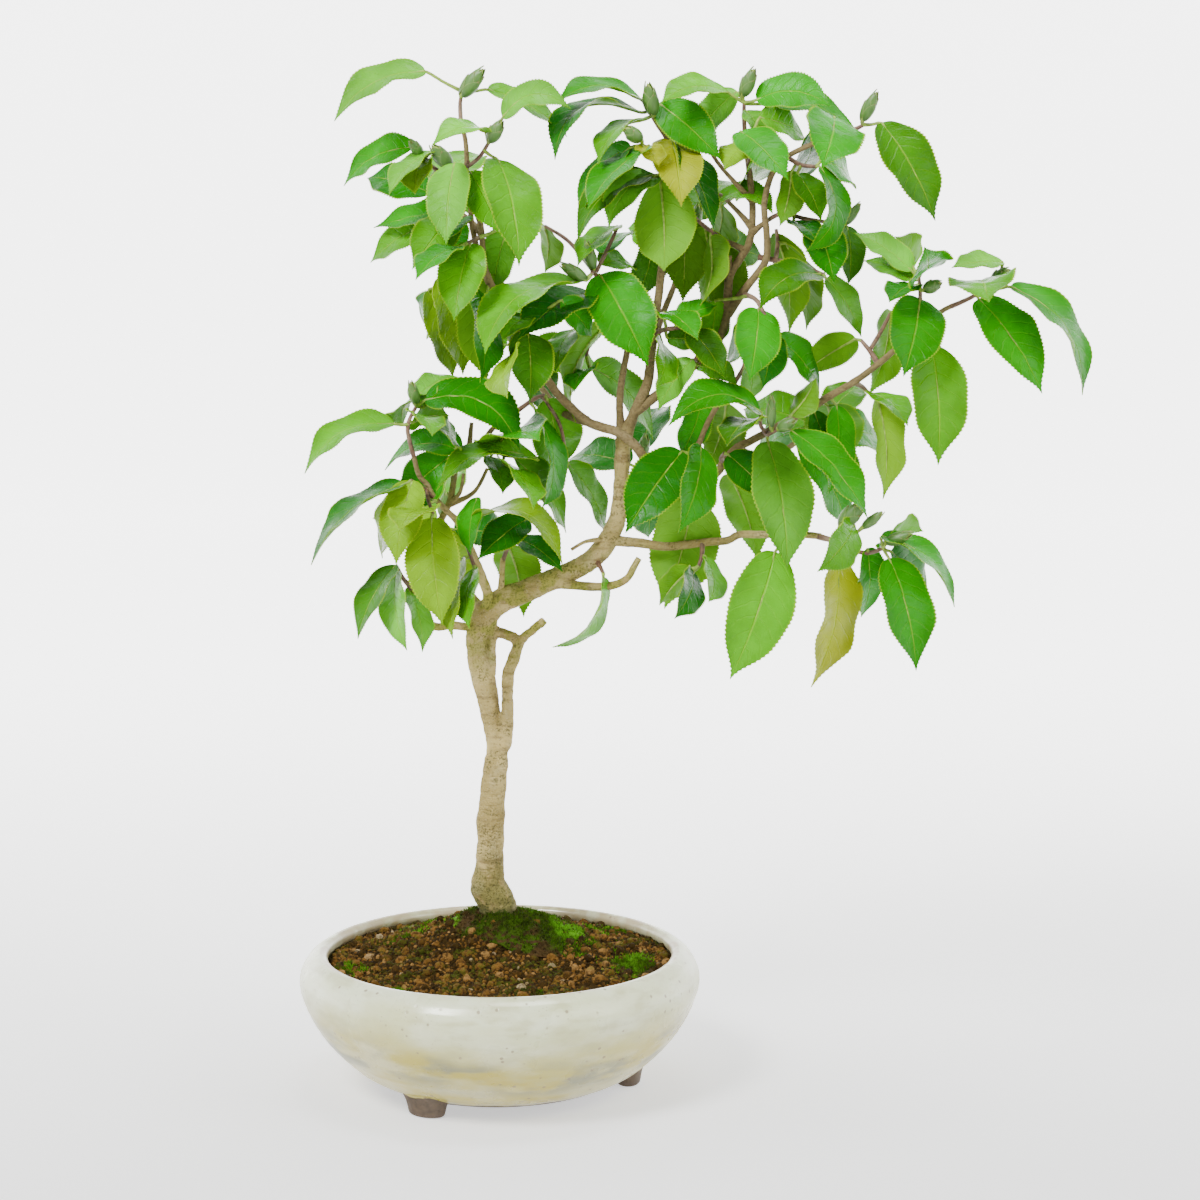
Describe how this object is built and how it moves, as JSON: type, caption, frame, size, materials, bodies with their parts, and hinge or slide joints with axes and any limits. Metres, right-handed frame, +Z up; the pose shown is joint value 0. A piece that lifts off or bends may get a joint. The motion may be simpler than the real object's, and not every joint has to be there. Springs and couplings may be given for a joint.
{
  "type": "japanese camellia bonsai",
  "caption": "Camellia bonsai with a crooked slim trunk and an airy crown of broad glossy leaves and buds, in a round glazed bowl on small feet, filled with soil and moss.",
  "frame": {"origin": "middle of the ground under the whole tree and bowl", "axes": "+Z up the trunk, +X towards the longer side of the crown, -Y towards the viewer"},
  "size_m": [0.4654, 0.2584, 0.6111],
  "materials": {
    "pot": "glossy",
    "soil": "rough",
    "moss": "matte",
    "bark": "rough",
    "leaves": "satin"
  },
  "bodies": {
    "root": {"pot": "pot", "soil": "soil", "moss_cushion": "moss", "moss_patch": "moss", "wood": "bark", "spray_left_crown": "leaves", "spray_left_inner": "leaves", "spray_left_tip": "leaves", "spray_left_high": "leaves", "spray_left_middle": "leaves", "spray_left_low": "leaves", "spray_centre_left": "leaves", "spray_cross_low": "leaves", "spray_grey_stem": "leaves", "spray_left_arm": "leaves", "spray_left_side": "leaves", "spray_left_bottom": "leaves", "spray_trunk_side": "leaves", "spray_bough_spur": "leaves", "spray_low_left_bend": "leaves", "spray_low_left_top": "leaves", "spray_low_left_tip": "leaves", "spray_under_bough": "leaves", "spray_crown_centre": "leaves", "spray_crown_side": "leaves", "spray_crown_low": "leaves", "spray_right_crown": "leaves", "spray_right_upper": "leaves", "spray_right_arm_tip": "leaves", "spray_right_inner": "leaves", "spray_right_arm": "leaves", "spray_right_spur": "leaves", "spray_centre_back": "leaves", "spray_centre_stem": "leaves", "spray_right_middle": "leaves", "spray_right_front": "leaves", "spray_fork_twig": "leaves", "spray_fork_low": "leaves", "spray_bough_front": "leaves", "spray_low_right_hang": "leaves", "spray_right_bend": "leaves", "spray_right_hang": "leaves", "spray_right_under": "leaves", "spray_low_right_front": "leaves", "spray_low_right_tip": "leaves", "spray_right_drop": "leaves", "spray_right_rise": "leaves", "spray_right_top": "leaves", "spray_right_long": "leaves", "spray_far_right": "leaves", "spray_back_low": "leaves", "spray_back_bough": "leaves", "spray_back_middle": "leaves", "spray_back_centre": "leaves", "spray_back_right": "leaves", "spray_back_high": "leaves"}
  },
  "joints": []
}
